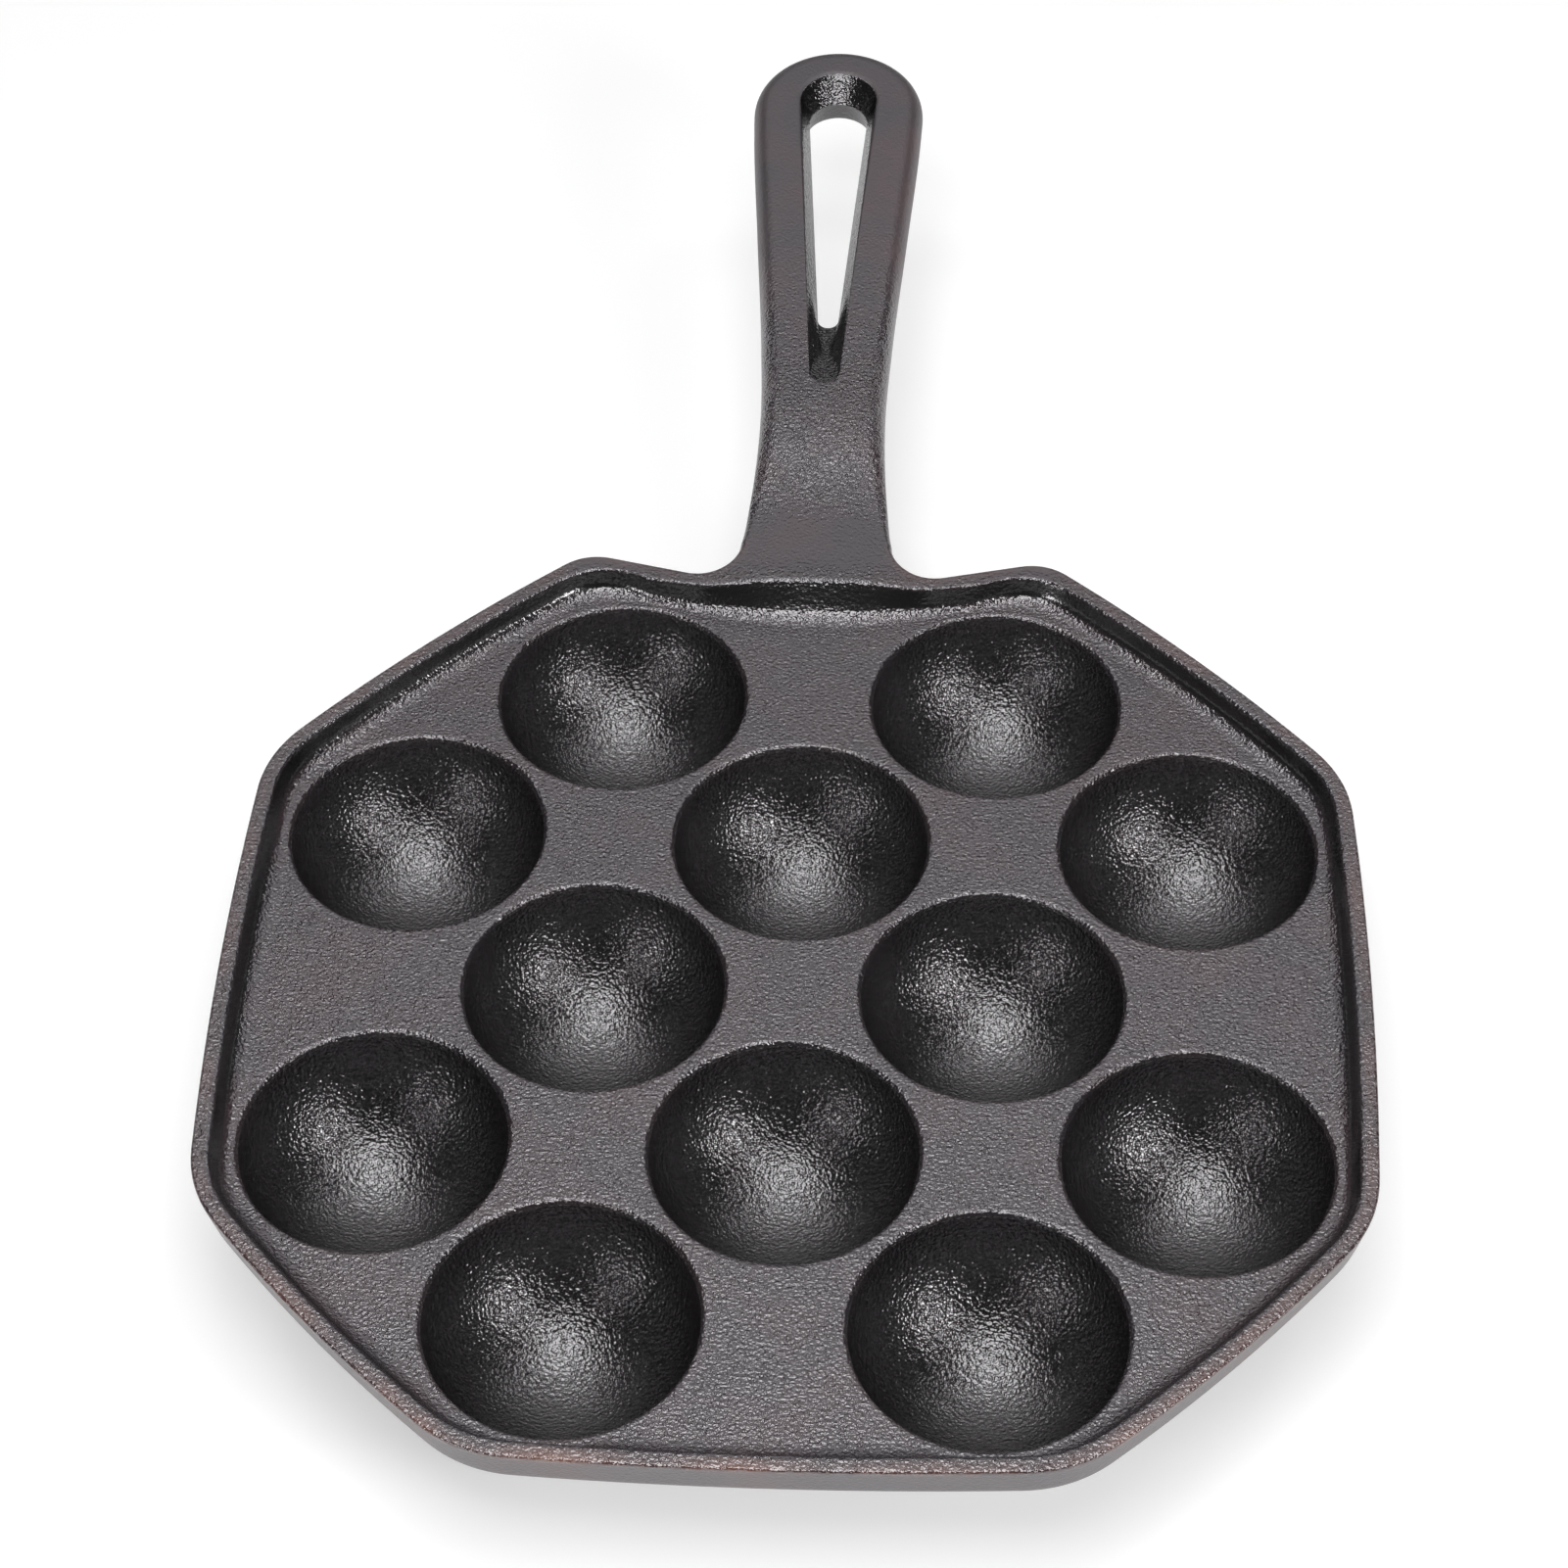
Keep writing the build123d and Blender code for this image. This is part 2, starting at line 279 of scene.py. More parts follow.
# --- outlines ---
def eight_sides(inset):
    """The pan's sides and rounded corners, clockwise from the right back corner to the left one, all
    moved in by inset. A side is its chord plus a parabola, and a corner is a quadratic curve. An outline
    that is moved in is the tray's, which has rounder corners at the back."""
    half = np.array([ROOT_VALLEY, BACK_CORNER, SIDE_CORNER, SIDE_CORNER * (1, -1), FRONT_CORNER])
    path = np.vstack([half, (half * (-1, 1))[::-1]])
    way = unit(np.diff(path, axis=0))
    turn = (way[:-1] * way[1:]).sum(1)[:, None]
    both = way[:-1] + way[1:]
    corners = path[1:-1] + np.stack([both[:, 1], -both[:, 0]], axis=1) * inset / (1 + turn)
    back_round = TRAY_CORNER_ROUND if inset else BACK_CORNER_ROUND
    rounding = np.array([back_round] + [CORNER_ROUND - inset] * 6 + [back_round])[:, None]
    reach = rounding * np.sqrt((1 - turn) / (1 + turn))
    chord = np.diff(corners, axis=0)
    out = unit(np.stack([-chord[:, 1], chord[:, 0]], axis=1))
    bow = np.array([SLANT_BOW, SIDE_BOW] * 3 + [SLANT_BOW])[:, None]
    span = np.linalg.norm(chord, axis=1, keepdims=True)
    first, last = reach[:-1] / span, 1 - reach[1:] / span
    t = between(first, last, np.linspace(0, 1, 49))
    sides = corners[:-1] + chord * t + out * bow * 4 * t * (1 - t)
    before = np.vstack([corners[:1] - way[:1] * reach[:1], sides[-1]])
    after = np.vstack([sides[0], corners[-1:] + way[-1:] * reach[-1:]])
    rounds = quadratic(before, corners, after, 17)
    strips = [rounds[:, 0]]
    for i in range(7):
        strips += [sides[1:-1, i], rounds[:, i + 1]]
    return np.vstack(strips)


def pan_outline():
    """The pan's outline at the parting line, clockwise from the middle of the joint with the handle, and
    how many points of its right half lie before the eight sides, on the joint and on the fillet."""
    sides = eight_sides(0)
    joint = lifted(np.sin(np.linspace(0, np.pi / 2, 25))[:, None] * ROOT_SIDE[0], ROOT_SIDE[1])
    turn = np.radians(np.linspace(180, ROOT_TURN, 29))[1:, None]
    fillet = ROOT_SIDE + (ROOT_ROUND, 0) + ROOT_ROUND * np.hstack([np.cos(turn), np.sin(turn)])
    back = between(fillet[-1], sides[0], np.linspace(0, 1, 19)[1:-1])
    right = np.vstack([joint, fillet, back])
    left = (right * (-1, 1))[:0:-1]
    return np.vstack([right, sides, left]), len(joint), len(fillet), len(right)


def tray_outline(inset, back):
    """An outline of the tray, point for point beside the pan's outline: the eight sides moved in by
    inset, joined along the back by a smooth curve through the points of back."""
    outer, _, _, count = pan_outline()
    sides = eight_sides(inset)
    x = outer[:count, 0] * sides[0, 0] / eight_sides(0)[0, 0]
    slope = (BACK_CORNER - ROOT_VALLEY)[1] / (BACK_CORNER - ROOT_VALLEY)[0]
    knots = np.vstack([back, sides[:1]])
    slopes = np.gradient(knots[:, 1], knots[:, 0])
    slopes[[0, -1]] = 0, slope
    y = smooth_through(x, knots[:, 0], knots[:, 1], slopes)
    right = np.stack([x, y], axis=1)
    return np.vstack([right, sides, (right * (-1, 1))[:0:-1]])


def bar_outline():
    """The right half of the handle's outline, clockwise from the tip to the middle of the joint: a
    quarter ellipse, a smooth side and half the joint. Also the counts of the three stretches."""
    turn = np.linspace(0, np.pi / 2, 29)[:, None]
    widest = BAR_SIDE[-1]
    tip = np.hstack([widest[0] * np.sin(turn), widest[1] + TIP_LENGTH * np.cos(turn)])
    y = between(BAR_SIDE[-1, 1], BAR_SIDE[0, 1], np.linspace(0, 1, 91)[1:])
    slopes = np.gradient(BAR_SIDE[:, 0], BAR_SIDE[:, 1])
    slopes[[0, -1]] = ROOT_NARROWING, 0
    side = np.stack([smooth_through(y, BAR_SIDE[:, 1], BAR_SIDE[:, 0], slopes), y], axis=1)
    joint = lifted(np.cos(np.linspace(0, np.pi / 2, 25))[1:, None] * ROOT_SIDE[0], ROOT_SIDE[1])
    return np.vstack([tip, side, joint]), len(tip), len(side), len(joint)


def teardrop(circles, counts):
    """The right half of the outline round two circles on the mirror line, from the wide end's top to the
    narrow end's bottom, with as many points on the wide arc, the straight side and the narrow arc as
    the handle has on its tip, side and joint."""
    (y1, r1), (y2, r2) = circles
    lean = np.arcsin((r1 - r2) / (y1 - y2))
    wide_turn = np.linspace(0, np.pi / 2 + lean, counts[0])[:, None]
    wide = (0, y1) + r1 * np.hstack([np.sin(wide_turn), np.cos(wide_turn)])
    narrow_turn = np.linspace(np.pi / 2 + lean, np.pi, counts[2] + 1)[:, None]
    narrow = (0, y2) + r2 * np.hstack([np.sin(narrow_turn), np.cos(narrow_turn)])
    side = between(wide[-1], narrow[0], np.linspace(0, 1, counts[1] + 1)[1:])
    return np.vstack([wide, side, narrow[1:]])


def silhouette():
    """The whole casting's outline from above, clockwise from the handle's tip."""
    pan, joint, _, _ = pan_outline()
    bar, tip, side, _ = bar_outline()
    right = bar[: tip + side]
    return np.vstack([right, pan[joint : 1 - joint], (right * (-1, 1))[:0:-1]])


SILHOUETTE = silhouette()


def raised(plan, height):
    """Plan points on a face, whose height depends on their distance from the silhouette."""
    return lifted(plan, height(plan, distance_to(plan, SILHOUETTE)))


def raised_rows(plan, height):
    """Rows of plan points on a face, and their distances from the silhouette."""
    edge = np.array([distance_to(row, SILHOUETTE) for row in plan])
    return lifted(plan, height(plan, edge)), edge


# --- the two faces of rim and handle, as heights over the plan ---
class BarShape:
    """Heights of the rim and the handle over the plan. Across the bar a face falls to the parting line
    as a quarter ellipse. Along the bar its crown and floor are cubics that leave the rim level and end
    beside the middle plane, and the crown climbs steeply at the neck on its way. Under the rim the outer
    wall is a plane with draft instead."""

    def __init__(self, sizes):
        self.sizes = sizes
        self.rim_top = sizes.deck_top + sizes.rim_height
        under = sizes.deck_top - sizes.deck_thickness
        half = sizes.bar_thickness / 2
        bar = np.array([BEND_END, BAR_END])
        self.crown_along = np.array([CLIMB_START, CLIMB_STEEPEST, *bar])
        self.crown_heights = np.array(
            [self.rim_top + ROOT_LIFT, self.rim_top + CLIMB_HEIGHT, *(self.middle(bar) + half)]
        )
        self.floor_along = np.array([BEND_START, *bar])
        self.floor_heights = np.array([under, *(self.middle(bar) - half)])

    def middle(self, y):
        """Height of the bar's middle plane."""
        return self.sizes.deck_top + MID_ROOT + MID_RISE * (y - ROOT_SIDE[1])

    def along(self, plan):
        """How far along the bar a point is; beside the bar this fades to the rim's level stretch."""
        beside = smooth_step(*BESIDE_BAR, np.abs(plan[..., 0])) * (plan[..., 1] < ROOT_SIDE[1])
        return BEND_START + np.maximum(plan[..., 1] - BEND_START, 0) * (1 - beside)

    def lift(self, plan):
        """Rise of the handle's root over the rim, which runs out to both sides and up the neck."""
        beside = smooth_step(*ROOT_LIFT_ENDS, np.abs(plan[..., 0]))
        return ROOT_LIFT * (1 - beside * (1 - smooth_step(ROOT_SIDE[1], CLIMB_STEEPEST, plan[..., 1])))

    def section(self, plan):
        """Crown, parting and floor height, and how much of the section is bar rather than rim."""
        y = self.along(plan)
        climbed = np.maximum(y, CLIMB_START)
        slopes = (0, CLIMB_SLOPE, MID_RISE, MID_RISE)
        crown = smooth_through(climbed, self.crown_along, self.crown_heights, slopes)
        crown = crown - ROOT_LIFT + self.lift(plan) * (plan[..., 1] > 0)
        floor = smooth_through(y, self.floor_along, self.floor_heights, (0, MID_RISE, MID_RISE))
        risen = smooth_step(BEND_START, PARTING_RISEN, y)
        parting = (1 - risen) * (self.rim_top - self.sizes.edge_drop) + risen * self.middle(y)
        return crown, parting, floor, smooth_step(BEND_START, BAR_FORMED, y)

    def top(self, plan, edge):
        """Height of the top face, where edge is the distance from the silhouette."""
        crown, parting, _, bar = self.section(plan)
        reach = (1 - bar) * self.sizes.edge_round + bar * self.sizes.bar_round
        fall = 1 - np.sqrt(1 - (1 - np.minimum(edge / reach, 1)) ** 2)
        return crown - (crown - parting) * fall

    def bottom(self, plan, edge):
        """Height of the underside. The rim's wall and floor meet with a rounding, as the higher of
        the two plus a square of what is left of its width."""
        _, parting, floor, bar = self.section(plan)
        wall = parting - edge / tan(self.sizes.edge_draft)
        soft = self.sizes.under_round
        near = np.maximum(soft - np.abs(wall - floor), 0)
        rim = np.maximum(wall, floor) + near**2 / (4 * soft)
        share = np.minimum(edge / self.sizes.bar_round, 1)
        round_bar = parting - (parting - floor) * np.sqrt(1 - (1 - share) ** 2)
        return (1 - bar) * rim + bar * round_bar


# --- meshes ---
SAME_POINT = 0.5e-6  # points nearer than this are one
SHARP = radians(50)  # an edge that turns by more is shaded sharp


def closed_mesh(name, points, faces, marks):
    """A mesh object from points and faces, with one value per point in each attribute of marks. Doubled
    points, as at poles, are merged, and the faces are turned outwards if the volume comes out negative."""
    corners = points[faces]
    volume = sum(
        np.einsum("ij,ij->i", corners[:, 0], np.cross(corners[:, a], corners[:, a + 1])).sum()
        for a in range(1, faces.shape[1] - 1)
    )
    if volume < 0:
        faces = faces[:, ::-1]
    mesh = bpy.data.meshes.new(name)
    mesh.from_pydata(points.tolist(), [], faces.tolist())
    for mark, values in marks.items():
        mesh.attributes.new(mark, "FLOAT", "POINT").data.foreach_set("value", values.astype(np.float32))
    shape = bmesh.new()
    shape.from_mesh(mesh)
    bmesh.ops.remove_doubles(shape, verts=shape.verts, dist=SAME_POINT)
    bmesh.ops.dissolve_degenerate(shape, edges=shape.edges, dist=SAME_POINT)
    shape.to_mesh(mesh)
    shape.free()
    mesh.shade_smooth()
    mesh.set_sharp_from_angle(angle=SHARP)
    piece = bpy.data.objects.new(name, mesh)
    bpy.context.scene.collection.objects.link(piece)
    return piece


def quads(rows, ring):
    """Faces between rows of points, each row a closed loop. In a ring the last row joins the first."""
    index = np.arange(rows[..., 0].size).reshape(rows.shape[:2])
    if ring:
        index = np.vstack([index, index[:1]])
    here, there = index[:-1], index[1:]
    return np.stack([here, np.roll(here, -1, 1), np.roll(there, -1, 1), there], axis=-1).reshape(-1, 4)


def carried(name, rows, marks, ring):
    """A closed surface through rows of points, each row a closed loop. The rows close into a ring, or
    else the first and the last are poles."""
    values = {mark: np.broadcast_to(value, rows.shape[:2]).ravel() for mark, value in marks.items()}
    return closed_mesh(name, rows.reshape(-1, 3), quads(rows, ring), values)


def cup_centres():
    """The plan place of each cup, from the middle of its CAD node's box."""
    return {name: np.array((sum(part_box(name), Vector()) / 2)[:2]) for name in CUP_NODES}


AROUND = 144  # points round a cup; a multiple of eight, so that neighbours' seams agree
SEAM_GAP = 0.05 * MM  # flat deck that is always left between a cup's ring and the wall's fillet


def ring_of(radius, count=AROUND):
    """A circle of points, clockwise from +Y, or one for each row of radii, which may vary round it."""
    turn = np.linspace(0, 2 * np.pi, count, endpoint=False)
    return np.stack([radius * np.sin(turn), radius * np.cos(turn)], axis=-1)


def seam_inset(sizes, foot):
    """How far in from the wall's foot the flat deck starts: the fillet's reach, or what the nearest cup's
    ring leaves."""
    ring = sizes.mouth_radius + sizes.lip_ring
    centres = np.array(list(cup_centres().values()))
    room = np.linalg.norm(foot[:, None] - centres, axis=-1).min(1) - ring - SEAM_GAP
    behind = (foot[:, 1] > 0) * (1 - smooth_step(*BACK_FILLET_ENDS, np.abs(foot[:, 0])))
    return np.minimum(sizes.foot_fillet + behind * (sizes.back_fillet - sizes.foot_fillet), room)


def deck_edge(sizes):
    """The flat deck's edge, and the foot and brink of the rim's inner wall, point for point."""
    foot = tray_outline(sizes.rim_land + sizes.rim_slope, WALL_FOOT_BACK)
    brink = tray_outline(sizes.rim_land, WALL_TOP_BACK)
    inset = seam_inset(sizes, foot)
    return foot - outward(foot) * inset[:, None], foot, brink, inset


# --- material ---
def add_node(tree, kind, inputs, **fields):
    """Adds a node. inputs maps a socket's name or number to a value or to another node's output."""
    made = tree.nodes.new(kind)
    for field, value in fields.items():
        setattr(made, field, value)
    for socket, value in inputs.items():
        if isinstance(value, bpy.types.NodeSocket):
            tree.links.new(value, made.inputs[socket])
        else:
            made.inputs[socket].default_value = value
    return made


def seasoned_iron(finish):
    """Sand-cast grey iron under baked oil: near-black, with pebbles from the moulding sand that catch the
    lamps as short bright flecks and leave the steep faces black. Where there are no pebbles the skin is
    satin. Rubbed edges show coppery brown. What mirrors is the film of oil over black iron oxide, hence
    its IOR and the slightly violet reflection. The pebbles are drawn coarser than the sand, so that they
    show at the distance the pan is seen from."""
    name = "Seasoned sand-cast iron"
    if name in bpy.data.materials:
        return bpy.data.materials[name]
    material = bpy.data.materials.new(name)
    material.use_nodes = True
    tree = material.node_tree
    tree.nodes.clear()
    place = add_node(tree, "ShaderNodeTexCoord", {}).outputs["Object"]
    grain, wear, dryness_and_wall_shade = (
        add_node(tree, "ShaderNodeAttribute", {}, attribute_name=mark).outputs["Fac"]
        for mark in ("grain", "wear", "dryness_and_wall_shade")
    )
    pebbles = add_node(
        tree,
        "ShaderNodeTexNoise",
        {"Vector": place, "Scale": 1 / finish.grit, "Detail": 1.0, "Roughness": 0.5},
    ).outputs["Fac"]
    mottle = add_node(
        tree, "ShaderNodeTexNoise", {"Vector": place, "Scale": 1 / finish.patch, "Detail": 4.0}
    ).outputs["Fac"]

    # the colour: black film, greyer where dry, brown in thin patches, coppery where rubbed; the black film's
    # colour on the rim's steep inner wall and the slot's wall is partly painted shade
    patches = add_node(
        tree, "ShaderNodeMapRange", {"Value": mottle, "From Min": 0.42, "From Max": 0.72, "To Max": 0.35}
    ).outputs["Result"]
    thin = add_node(tree, "ShaderNodeMath", {0: patches, 1: dryness_and_wall_shade}, operation="MULTIPLY").outputs[0]
    spots = add_node(
        tree, "ShaderNodeMapRange", {"Value": mottle, "From Min": 0.3, "From Max": 0.65}
    ).outputs["Result"]
    rubbed = add_node(tree, "ShaderNodeMath", {0: wear, 1: spots}, operation="MULTIPLY").outputs[0]
    base = (*finish.iron, 1)
    for share, over in ((dryness_and_wall_shade, finish.dusky), (thin, finish.warm), (rubbed, finish.worn)):
        base = add_node(
            tree, "ShaderNodeMix", {"Factor": share, 6: base, 7: (*over, 1)}, data_type="RGBA"
        ).outputs[2]

    # the surface: pebbles as high as grain says, and satin by what dryness_and_wall_shade exceeds it
    heights = add_node(tree, "ShaderNodeMath", {0: pebbles, 1: grain}, operation="MULTIPLY").outputs[0]
    relief = add_node(
        tree, "ShaderNodeBump", {"Strength": 1.0, "Distance": finish.relief, "Height": heights}
    ).outputs["Normal"]
    gloss = add_node(
        tree, "ShaderNodeMapRange", {"Value": mottle, "To Min": 0.16, "To Max": 0.22}
    ).outputs["Result"]
    bare = add_node(
        tree, "ShaderNodeMath", {0: dryness_and_wall_shade, 1: grain}, operation="SUBTRACT", use_clamp=True
    ).outputs[0]
    satin = add_node(tree, "ShaderNodeMath", {0: bare, 1: 0.3}, operation="MULTIPLY").outputs[0]
    rough = add_node(tree, "ShaderNodeMath", {0: gloss, 1: satin}).outputs[0]
    film = {"IOR": 2.1, "Specular Tint": (1, 0.97, 1, 1)}
    skin = add_node(
        tree, "ShaderNodeBsdfPrincipled", {"Base Color": base, "Roughness": rough, "Normal": relief, **film}
    )
    add_node(tree, "ShaderNodeOutputMaterial", {"Surface": skin.outputs["BSDF"]})
    return material


def finished(piece, finish, *nodes):
    """Gives a piece the iron and its place in the frame: it rides the one body and stands for nodes."""
    piece.data.materials.append(seasoned_iron(finish))
    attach(piece, BODY)
    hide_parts(*nodes)


# --- operators ---
class CUPPAN_OT_deck(bpy.types.Operator):
    """Adds the flat deck with its twelve holes"""

    bl_idname = "cup_pan.deck"
    bl_label = "Deck"

    def execute(self, context):
        """The deck's edge and the holes are filled with flat triangles at two heights and joined by
        upright walls."""
        sizes = context.scene.cup_pan_sizes
        ring = ring_of(sizes.mouth_radius + sizes.lip_ring)
        loops = [deck_edge(sizes)[0]] + [centre + ring for centre in cup_centres().values()]
        ends = np.cumsum([len(loop) for loop in loops])
        numbers = np.split(np.arange(ends[-1]), ends[:-1])
        edges = np.vstack([np.stack([loop, np.roll(loop, -1)], axis=1) for loop in numbers])
        plan = np.vstack(loops)
        filled = delaunay_2d_cdt([Vector(p) for p in plan.tolist()], edges.tolist(), [], 1, 1e-7)
        made, triangles = np.array([tuple(v) for v in filled[0]]), np.array(filled[2])
        if len(made) != len(plan):
            raise ValueError("the deck's edge and holes cross")
        loop = np.searchsorted(ends, triangles, side="right")
        flat = triangles[(loop[:, 0] == 0) | (loop.min(1) != loop.max(1))]
        top = lifted(made, sizes.deck_top)
        under = lifted(made, sizes.deck_top - sizes.deck_thickness)
        count = len(made)
        pairs = np.vstack([flat[:, [0, 1]], flat[:, [1, 2]], flat[:, [2, 0]]])
        back = {(b, a) for a, b in pairs.tolist()}
        open_edges = np.array([p for p in pairs.tolist() if tuple(p) not in back])
        walls = np.hstack([open_edges, open_edges[:, ::-1] + count])
        walls = np.vstack([walls[:, [1, 0, 3]], walls[:, [1, 3, 2]]])
        faces = np.vstack([flat, flat[:, ::-1] + count, walls])
        marks = {"grain": np.full(2 * count, 1.15), "wear": np.zeros(2 * count), "dryness_and_wall_shade": np.ones(2 * count)}
        piece = closed_mesh("deck_iron", np.vstack([top, under]), faces, marks)
        finished(piece, context.scene.cup_pan_finish, "deck")
        return {"FINISHED"}


INSIDE_ROWS = 44  # rows up the inner sphere
LIP_ROWS = 7  # rows over the lip
CUP_OVERLAP = 0.3 * MM  # a cup's outer seam lies this far up inside the deck
NEIGHBOUR = 60.0 * MM  # cups nearer than this meet below the deck


class CUPPAN_OT_cups(bpy.types.Operator):
    """Adds the twelve cups, each with its lip above and its bowl below"""

    bl_idname = "cup_pan.cups"
    bl_label = "Cups"

    def execute(self, context):
        """A cup is a profile carried round its axis: the inner sphere, the lip's quadratic rounding, the
        ring on the deck, and the outer sphere with its fillet and flat foot. Below the deck each
        point's depth joins the neighbours' depths as a sum of sixth powers."""
        sizes = context.scene.cup_pan_sizes
        for name, centre in cup_centres().items():
            rows = np.concatenate([self.inside(sizes), self.outside(sizes, centre)]) + lifted(centre, 0)
            lip = smooth_step(INSIDE_ROWS - 6, INSIDE_ROWS + LIP_ROWS, np.arange(len(rows)))[:, None]
            marks = {"grain": 1 + 0.15 * lip, "wear": 0 * lip, "dryness_and_wall_shade": lip}
            piece = carried(name + "_iron", rows, marks, ring=False)
            finished(piece, context.scene.cup_pan_finish, name)
        return {"FINISHED"}

    def inside(self, sizes):
        """Rows from the bowl's bottom to the ring's outer edge and down through the deck."""
        inner = np.hypot(sizes.mouth_radius, sizes.bowl_lift)
        top = sizes.deck_top
        mouth = np.array([sizes.mouth_radius, top])
        down = np.array([-sizes.bowl_lift, -sizes.mouth_radius]) / inner
        lip_start = mouth + down * sizes.lip_round
        lip_end = mouth + (sizes.lip_round, 0)
        middle = top + sizes.bowl_lift
        turn = np.linspace(0, np.arccos((middle - lip_start[1]) / inner), INSIDE_ROWS)[:, None]
        bowl = (0, middle) + inner * np.hstack([np.sin(turn), -np.cos(turn)])
        lip = quadratic(lip_start, mouth, lip_end, LIP_ROWS)
        edge = sizes.mouth_radius + sizes.lip_ring
        ring = np.array([(edge, top), (edge, top - sizes.deck_thickness + CUP_OVERLAP)])
        profile = np.vstack([bowl, lip, ring])
        return lifted(ring_of(profile[:, :1]), profile[:, 1:])

    def outside(self, sizes, centre):
        """Rows from the bowl's fillet in to the foot's middle. Towards a neighbour the cup ends at the
        upright plane half way to it."""
        under = sizes.deck_top - sizes.deck_thickness
        middle = sizes.deck_top + sizes.bowl_lift
        outer = np.hypot(sizes.mouth_radius, sizes.bowl_lift) + sizes.bowl_wall
        fillet = sizes.bowl_fillet
        tangent = np.sqrt((outer + fillet) ** 2 - (middle - under + fillet) ** 2)
        others = np.array([c for c in cup_centres().values() if 0 < np.linalg.norm(c - centre) < NEIGHBOUR])
        way = ring_of(1.0)
        facing = np.maximum(unit(others - centre) @ way.T, 1e-6)
        half_way = np.linalg.norm(others - centre, axis=1)[:, None] / 2
        edge = np.minimum(tangent, (half_way / facing).min(0))
        # rows by their share of the way out: closest together at the edge, and even from 0.65 inwards
        shares = np.concatenate([1 - np.linspace(0, 1, 26) ** 2 * 0.35, np.linspace(0.65, 0, 22)[1:]])
        plan = ring_of(shares[:, None] * edge)
        axes = np.vstack([[centre], others]) - centre
        away = np.linalg.norm(plan - axes[:, None, None], axis=-1)
        depths = self.depth(sizes, away, outer, middle, under, tangent)
        depth = (depths**6).sum(0) ** (1 / 6)
        height = under - np.minimum(depth, under)
        near = np.maximum(sizes.foot_round - np.abs(under - depth), 0)
        height = height + near**2 / (4 * sizes.foot_round)
        bowl = lifted(plan, height)
        start = bowl[:1].copy()
        start[..., 2] = under + CUP_OVERLAP
        return np.concatenate([start, bowl])

    def depth(self, sizes, away, outer, middle, under, tangent):
        """Depth below the deck's underside at a distance from a cup's axis: the outer sphere, then the
        fillet's circle, then nothing."""
        touch = tangent * outer / (outer + sizes.bowl_fillet)
        sphere = np.sqrt(np.maximum(outer**2 - away**2, 0)) - (middle - under)
        circle = sizes.bowl_fillet - np.sqrt(np.maximum(sizes.bowl_fillet**2 - (away - tangent) ** 2, 0))
        return np.where(away < touch, sphere, np.where(away < tangent, circle, 0))


EDGE_ZONE = 1.1 * MM  # width of the land's outer strip, which holds the edge's rounding...
ROOT_ZONE = 3.6 * MM  # ...and its width at the handle's root
# the strip's rows, as shares of its width in from the outline
EDGE_WAYS = np.array([1, 0.7, 0.5, 0.35, 0.22, 0.12, 0.05, 0.015, 0])
# rows of the outer wall and the underside's rounding, by how far in from the outline they lie
UNDER_STEPS = np.array([0, 0.15, 0.4, 0.7, 1.0, 1.25, 1.4, 1.55, 1.7, 1.85, 2.0, 2.2, 2.5, 3.0, 3.6]) * MM


